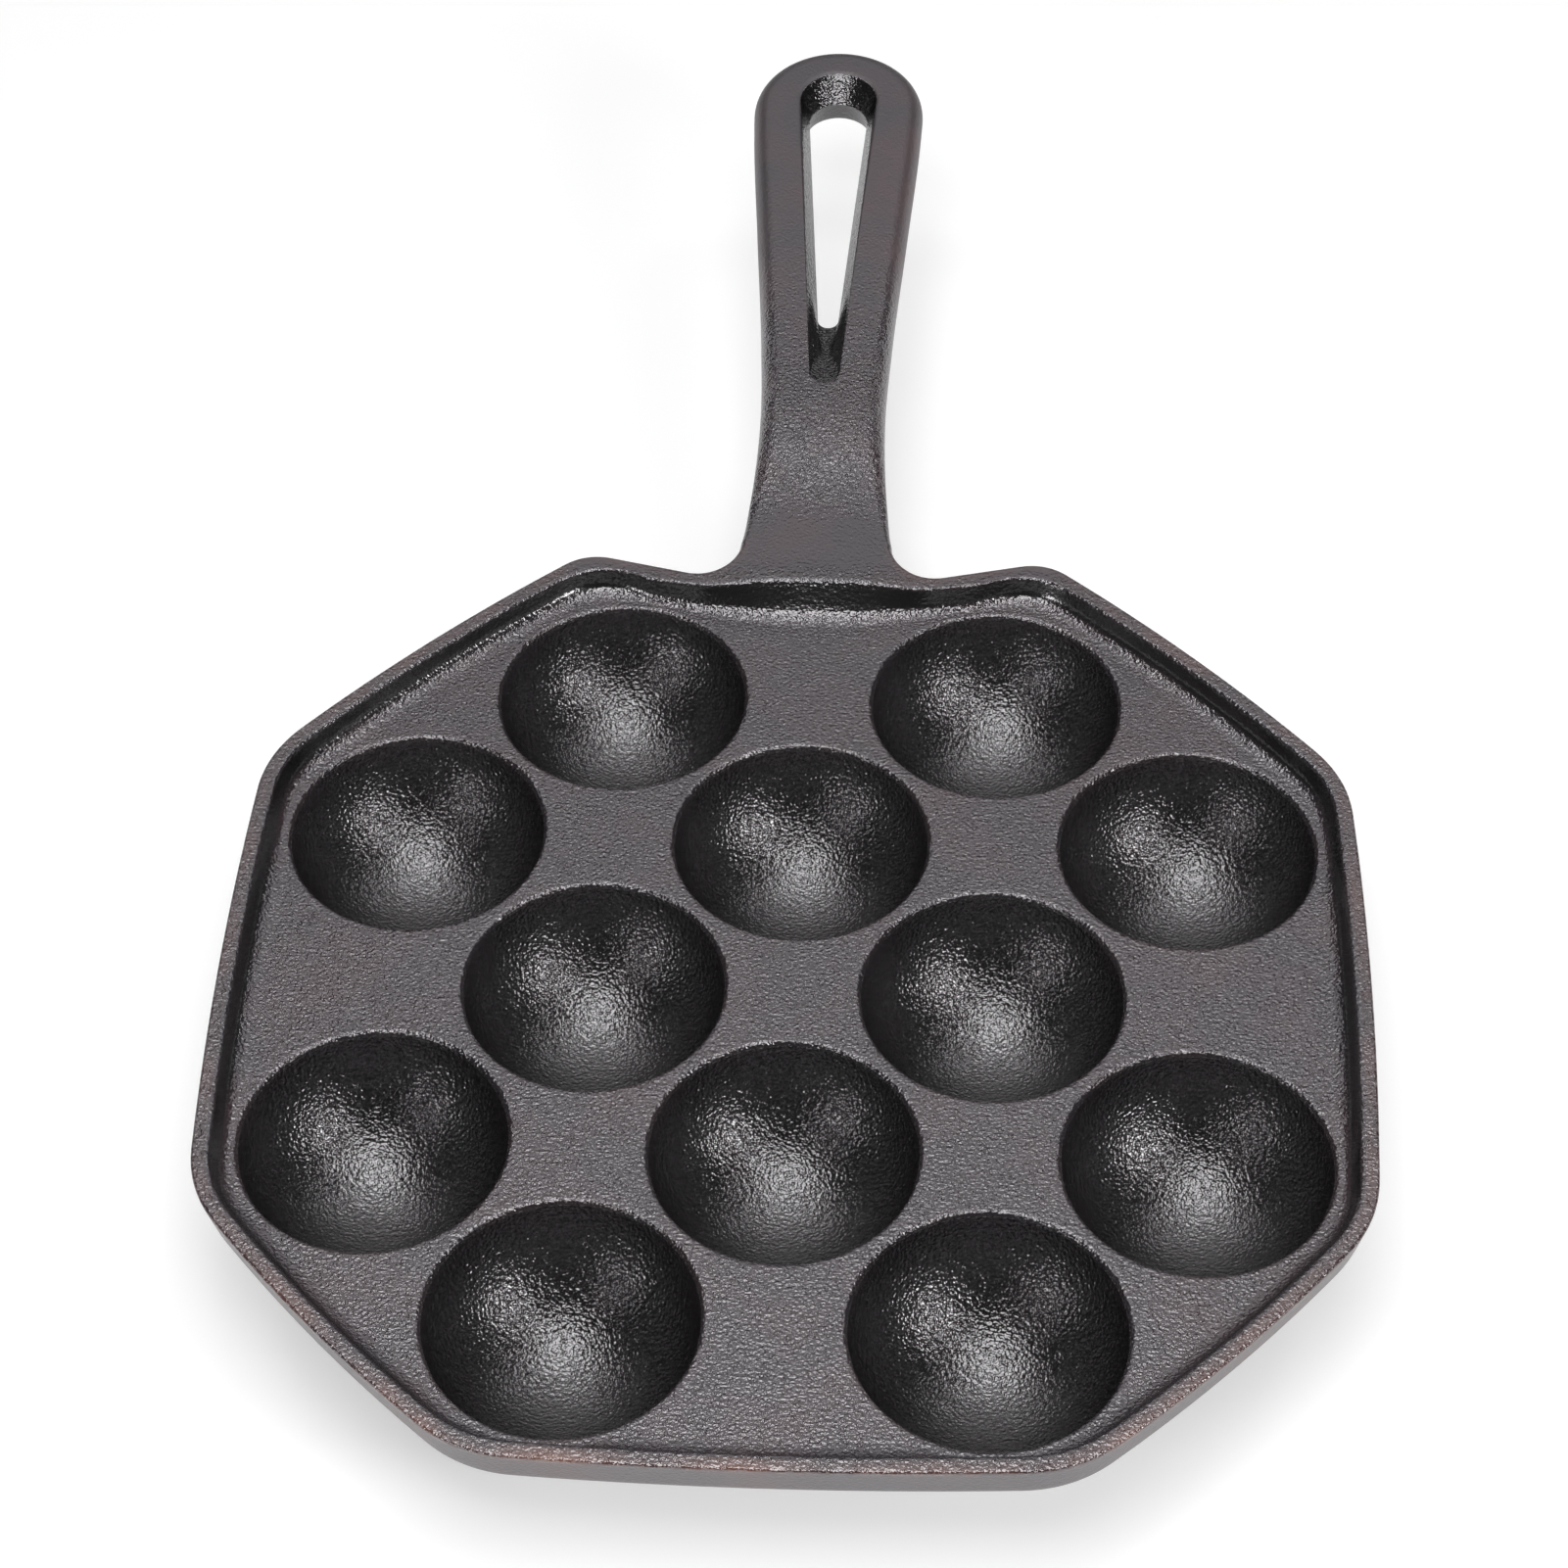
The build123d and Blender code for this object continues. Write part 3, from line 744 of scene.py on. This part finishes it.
class CUPPAN_OT_rim(bpy.types.Operator):
    """Adds the rim with the root of the handle"""

    bl_idname = "cup_pan.rim"
    bl_label = "Rim"

    def execute(self, context):
        """The rim's section carried round the pan: from the deck's edge up the inner wall with a
        quadratic curve at its foot and its brink, over the land, round the outer edge and back
        under. Its outer points run in along the outline's normals, mitred at the joint's corners."""
        sizes = context.scene.cup_pan_sizes
        shape = BarShape(sizes)
        outer, normal, root = self.outer_edge()
        seam, foot, brink, inset = deck_edge(sizes)
        wall_foot = lifted(foot, sizes.deck_top)
        wall_top = raised(brink, shape.top)
        up = unit(wall_top - wall_foot)
        # it climbs 0.8 of its reach, and where a cup cuts the reach short, its height falls by the root
        fillet_height = 0.8 * np.sqrt(inset * sizes.foot_fillet)[:, None]
        foot_curve = quadratic(lifted(seam, sizes.deck_top), wall_foot, wall_foot + up * fillet_height, 12)
        land_out = outer - normal * ((1 - root) * EDGE_ZONE + root * ROOT_ZONE)[:, None]
        onto = brink + unit(land_out - brink) * sizes.brink_round
        brink_curve = quadratic(wall_top - up * sizes.brink_round, wall_top, raised(onto, shape.top), 8)
        wall = between(foot_curve[-1], brink_curve[0], [0.25, 0.5, 0.75])
        inner = np.concatenate([foot_curve, wall, brink_curve])
        land = between(onto, land_out, np.linspace(0, 1, 8)[1:-1])
        land = np.concatenate([land, between(land_out, outer, 1 - EDGE_WAYS)])
        top, top_edge = raised_rows(land, shape.top)
        under_plan = outer - normal * UNDER_STEPS[:, None, None]
        inward = between(under_plan[-1], seam, np.linspace(0, 1, 8)[1:])
        under, under_edge = raised_rows(np.concatenate([under_plan, inward]), shape.bottom)
        up_wall = (inner[..., 2] - sizes.deck_top) / (wall_top[:, 2] - sizes.deck_top)
        marks = [
            self.inner_marks(up_wall),
            self.top_marks(top, top_edge),
            self.under_marks(under, under_edge, shape.rim_top),
        ]
        grain, wear, dryness_and_wall_shade = (np.concatenate(parts) for parts in zip(*marks))
        rows = np.concatenate([inner, top, under])
        grain = grain * (1 - 0.5 * smooth_step(*RIM_FADE, rows[..., 1]))
        front = 0.25 + 0.75 * smooth_step(*FRONT_FADE, rows[..., 1])
        marks = {"grain": grain, "wear": np.minimum(wear, front), "dryness_and_wall_shade": dryness_and_wall_shade}
        finished(carried("rim_iron", rows, marks, ring=True), context.scene.cup_pan_finish, "rim")
        return {"FINISHED"}

    def outer_edge(self):
        """The outline, its normals, and how much each point belongs to the handle's root. At the joint
        the normals point along the handle, and on the fillet they turn back by the square of the way."""
        outer, joint, fillet, _ = pan_outline()
        half = joint + fillet
        fade = np.linspace(1, 0, fillet + 1)[1:] ** 2
        normal = outward(outer)
        normal[:joint] = np.stack([outer[:joint, 0] / ROOT_SIDE[0], np.ones(joint)], axis=1)
        normal[joint:half] += fade[:, None] * (0, 1)
        normal[1 - half :] = (normal[1:half] * (-1, 1))[::-1]
        root = np.zeros(len(outer))
        root[:joint] = 1
        root[joint:half] = fade
        root[1 - half :] = root[1:half][::-1]
        return outer, normal, root

    def inner_marks(self, up_wall):
        """Grain, wear and dryness_and_wall_shade of the inner wall, from the share of its height: pebbles at
        its foot and brink, and between them a smooth face in the black film's colour, which is partly
        painted shade on a steep face."""
        steep = smooth_step(0.08, 0.35, up_wall) * (1 - smooth_step(0.85, 1, up_wall))
        # the steep face gets the black film's colour (0 here), partly as painted shade
        return 1.1 - 0.85 * steep, 0 * steep, 1 - steep

    def top_marks(self, top, edge):
        """The land is a little rubbed, less towards the handle, and its outer edge most."""
        land = 0.4 * (1 - smooth_step(*LAND_FADE, top[..., 1]))
        ones = np.ones_like(edge)
        return 1.1 * ones, land + 0.75 * np.exp(-((edge / (1.1 * MM)) ** 2)), ones

    def under_marks(self, under, edge, rim_top):
        """The outer wall has faint pebbles, and is rubbed along its upper edge."""
        below = (rim_top - under[..., 2]) / MM
        ones = np.ones_like(edge)
        return 0.44 * ones, 0.2 + 0.8 * np.exp(-(below**2)) * (edge < 1 * MM), ones


SLOT_ROWS = 12  # rows up each half of the slot's wall
MITRE = 14.0 * MM  # how far from the joint its rows still lean along the handle


class CUPPAN_OT_handle(bpy.types.Operator):
    """Adds the handle with its drafted slot"""

    bl_idname = "cup_pan.handle"
    bl_label = "Handle"

    def execute(self, context):
        """Loops round the slot, from the hole's ridge in the middle plane up its drafted wall, over the
        top face, round the side and back under. Each point of a slot outline is joined to the point
        with its number on the handle's outline."""
        sizes = context.scene.cup_pan_sizes
        shape = BarShape(sizes)
        right, *counts = bar_outline()
        outer = both_halves(right)
        fade = np.clip(1 - (outer[:, 1] - ROOT_SIDE[1]) / MITRE, 0, 1) ** 2
        normal = outward(outer) - fade[:, None] * (0, 1)
        before = counts[0] + counts[1] - 1
        joint = slice(before, len(outer) - before + 1)
        x = outer[joint, 0]
        normal[joint] = np.stack([x / ROOT_SIDE[0], -np.ones(len(x))], axis=1)
        face_out = outer - normal * sizes.bar_round
        hole, mouth, under_mouth = (both_halves(teardrop(c, counts)) for c in (HOLE, MOUTH, UNDER_MOUTH))
        ridge = lifted(hole, shape.middle(hole[:, 1]))
        ways = 1 - np.linspace(1, 0, 15) ** 2.4  # closer towards the parting line, where the side turns
        top_rows, top_edge = self.face(sizes, shape.top, ridge, mouth, face_out, outer, ways)
        under_rows, under_edge = self.face(sizes, shape.bottom, ridge, under_mouth, face_out, outer, ways)
        rows = np.concatenate([top_rows, under_rows[:0:-1]])
        piece = carried("handle_iron", rows, self.marks(rows, top_edge, under_edge), ring=True)
        finished(piece, context.scene.cup_pan_finish, "handle")
        return {"FINISHED"}

    def face(self, sizes, height, ridge, mouth, face_out, outer, ways):
        """Rows from the hole's ridge along the slot's wall, round its edge and across one face to the
        parting line, and each point's distance from the silhouette. At the narrow end the wall is
        pinched towards the mirror line by 16 t^2 (1-t)^2, most half way up, so the groove there is a V."""
        brink = raised(mouth, height)
        wall_end = brink + unit(ridge - brink) * sizes.slot_round
        onto = mouth + unit(face_out - mouth) * sizes.slot_round
        edge_curve = quadratic(wall_end, brink, raised(onto, height), 8)
        t = np.linspace(0, 1, SLOT_ROWS + 1)[:-1]
        wall = between(ridge, edge_curve[0], t)
        narrow = 1 - smooth_step(*GROOVE_FADE, wall[..., 1])
        wall[..., 0] *= 1 - 0.6 * (16 * t**2 * (1 - t) ** 2)[:, None] * narrow
        across = between(onto, face_out, np.linspace(0, 1, 14)[1:])
        round_side = between(face_out, outer, ways[1:])
        skin, edge = raised_rows(np.concatenate([across, round_side]), height)
        inside = np.full((len(wall) + len(edge_curve), len(outer)), sizes.bar_round * 3)
        return np.concatenate([wall, edge_curve, skin]), np.concatenate([inside, edge])

    def marks(self, rows, top_edge, under_edge):
        """Pebbles are strongest on the neck and fade to a smooth, brownish tip. The slot's wall takes the
        black film's colour, partly as painted shade, and the sides are a little rubbed, the right one more
        than the left."""
        edge = np.concatenate([top_edge, under_edge[:0:-1]])
        x, y = rows[..., 0], rows[..., 1]
        neck = smooth_step(*NECK_FADE, y) * (1 - smooth_step(*WAIST_FADE, y))
        tip = smooth_step(*TIP_FADE, y)
        grain = 0.55 + 0.45 * smooth_step(*ROOT_FADE, y) + 0.5 * neck - 0.6 * tip
        grain[len(top_edge) :] *= 0.5
        wear = 0.05 * (1 + (x > 0)) * np.exp(-((edge / (3 * MM)) ** 2))
        dryness_and_wall_shade = 1 + tip
        # the slot's wall gets the black film's colour (0), partly as painted shade, with no satin and no
        # rubbing
        for slot in (slice(0, SLOT_ROWS + 3), slice(-SLOT_ROWS - 2, None)):
            dryness_and_wall_shade[slot], grain[slot], wear[slot] = 0, 0.7, 0
        return {"grain": grain, "wear": wear, "dryness_and_wall_shade": dryness_and_wall_shade}


class CUPPAN_OT_stage(bpy.types.Operator):
    """Adds the floor, the lights and the camera"""

    bl_idname = "cup_pan.stage"
    bl_label = "Stage"

    def execute(self, context):
        look = context.scene.cup_pan_stage
        self.cove(look)
        self.lights()
        camera = bpy.data.objects.new("camera", bpy.data.cameras.new("camera"))
        camera.location = look.camera_place
        camera.rotation_euler = look.camera_turn
        camera.data.lens = look.camera_lens
        camera.data.clip_start = 10 * MM
        context.scene.collection.objects.link(camera)
        context.scene.camera = camera
        context.scene.view_settings.view_transform = "Standard"
        world = bpy.data.worlds.new("studio")
        world.use_nodes = True
        grey = [look.surround] * 3
        world.node_tree.nodes["Background"].inputs["Color"].default_value = (*grey, 1)
        context.scene.world = world
        return {"FINISHED"}

    def cove(self, look):
        """The floor, a disc of 5 m that curves up at its edge: a profile turned round Z."""
        radius, bend = 5.0, 0.3
        turn = np.linspace(0, np.pi / 2, 17)[:, None]
        curve = (radius - bend, bend) + bend * np.hstack([np.sin(turn), -np.cos(turn)])
        profile = np.vstack([[(0, 0), (0.5, 0), (2, 0)], curve])
        rows = lifted(ring_of(profile[:, :1], 96), profile[:, 1:])
        mesh = bpy.data.meshes.new("floor")
        mesh.from_pydata(rows.reshape(-1, 3).tolist(), [], quads(rows, ring=False).tolist())
        mesh.shade_smooth()
        floor = bpy.data.objects.new("floor", mesh)
        bpy.context.scene.collection.objects.link(floor)
        floor.data.materials.append(self.paper(look))

    def paper(self, look):
        """Matte studio paper: pale to the light that falls on the pan, and white where it is seen or
        mirrored, with the pan's shadow kept near the pan."""
        material = bpy.data.materials.new("Matte studio paper")
        material.use_nodes = True
        tree = material.node_tree
        tree.nodes.clear()
        rays = add_node(tree, "ShaderNodeLightPath", {})
        shown = rays.outputs["Is Camera Ray"]
        for ray in ("Is Glossy Ray", "Is Transmission Ray"):
            shown = add_node(
                tree, "ShaderNodeMath", {0: shown, 1: rays.outputs[ray]}, operation="MAXIMUM"
            ).outputs[0]
        place = add_node(tree, "ShaderNodeTexCoord", {}).outputs["Object"]
        far = add_node(tree, "ShaderNodeVectorMath", {0: place}, operation="LENGTH").outputs["Value"]
        away = add_node(
            tree,
            "ShaderNodeMapRange",
            {"Value": far, "From Min": 0.3, "From Max": 1.0},
            interpolation_type="SMOOTHSTEP",
        ).outputs["Result"]
        shaded = add_node(tree, "ShaderNodeBsdfDiffuse", {"Color": (0.62, 0.62, 0.62, 1)})
        glow = add_node(tree, "ShaderNodeEmission", {"Strength": 0.5})
        near = add_node(tree, "ShaderNodeAddShader", {0: shaded.outputs[0], 1: glow.outputs[0]})
        white = add_node(tree, "ShaderNodeEmission", {"Strength": 1.0})
        seen = add_node(tree, "ShaderNodeMixShader", {0: away, 1: near.outputs[0], 2: white.outputs[0]})
        pale = add_node(tree, "ShaderNodeBsdfDiffuse", {"Color": (*look.floor, 1)})
        both = add_node(tree, "ShaderNodeMixShader", {0: shown, 1: pale.outputs[0], 2: seen.outputs[0]})
        add_node(tree, "ShaderNodeOutputMaterial", {"Surface": both.outputs[0]})
        return material

    def lights(self):
        """Soft boxes round the pan, each given by the way to it, its distance, side lengths and radiance."""
        boxes = {
            "key": ((-0.05, -0.25, 0.967), 0.72, (0.48, 0.34), 5.4),
            "right_front": ((0.69, -0.47, 0.50), 0.9, (0.25, 0.25), 13.5),
            "left_front": ((-0.66, -0.66, 0.33), 0.9, (0.2, 0.25), 10.2),
            "top_back": ((0.0, 0.66, 0.75), 1.3, (1.5, 1.1), 0.69),
            "over": ((0.02, 0.17, 0.985), 1.2, (0.56, 0.25), 4.8),
            "over_left": ((-0.5, 0.45, 0.74), 1.2, (0.18, 0.18), 6.3),
            "over_right": ((0.5, 0.45, 0.74), 1.2, (0.18, 0.18), 6.3),
        }
        for name, (way, distance, (wide, tall), radiance) in boxes.items():
            lamp = bpy.data.lights.new(name, "AREA")
            lamp.shape = "RECTANGLE"
            lamp.size, lamp.size_y = wide, tall
            lamp.energy = radiance * np.pi * wide * tall
            box = bpy.data.objects.new(name, lamp)
            box.location = Vector(way).normalized() * distance
            box.rotation_euler = Vector(way).to_track_quat("Z", "Y").to_euler()
            box.visible_camera = False
            bpy.context.scene.collection.objects.link(box)


class CUPPAN_PT_panel(bpy.types.Panel):
    """Lists the sizes, the finish and the operators"""

    bl_idname = "CUPPAN_PT_panel"
    bl_label = "Cup Pan"
    bl_space_type = "VIEW_3D"
    bl_region_type = "UI"
    bl_category = "Cup Pan"

    def draw(self, context):
        for name in GROUPS:
            group = getattr(context.scene, name)
            box = self.layout.box()
            for field in group.__annotations__:
                box.prop(group, field)
        for operator in OPERATORS:
            self.layout.operator(operator.bl_idname)


OPERATORS = (CUPPAN_OT_deck, CUPPAN_OT_cups, CUPPAN_OT_rim, CUPPAN_OT_handle, CUPPAN_OT_stage)
GROUPS = {"cup_pan_sizes": PanSizes, "cup_pan_finish": PanFinish, "cup_pan_stage": StageLook}


def register():
    for group in GROUPS.values():
        bpy.utils.register_class(group)
    for operator in OPERATORS:
        bpy.utils.register_class(operator)
    bpy.utils.register_class(CUPPAN_PT_panel)
    for field, group in GROUPS.items():
        setattr(bpy.types.Scene, field, PointerProperty(type=group))


def unregister():
    for field in GROUPS:
        delattr(bpy.types.Scene, field)
    bpy.utils.unregister_class(CUPPAN_PT_panel)
    for operator in OPERATORS:
        bpy.utils.unregister_class(operator)
    for group in GROUPS.values():
        bpy.utils.unregister_class(group)


def main():
    register()
    bpy.ops.cup_pan.deck()
    bpy.ops.cup_pan.cups()
    bpy.ops.cup_pan.rim()
    bpy.ops.cup_pan.handle()
    bpy.ops.cup_pan.stage()


if __name__ == "__main__":
    main()
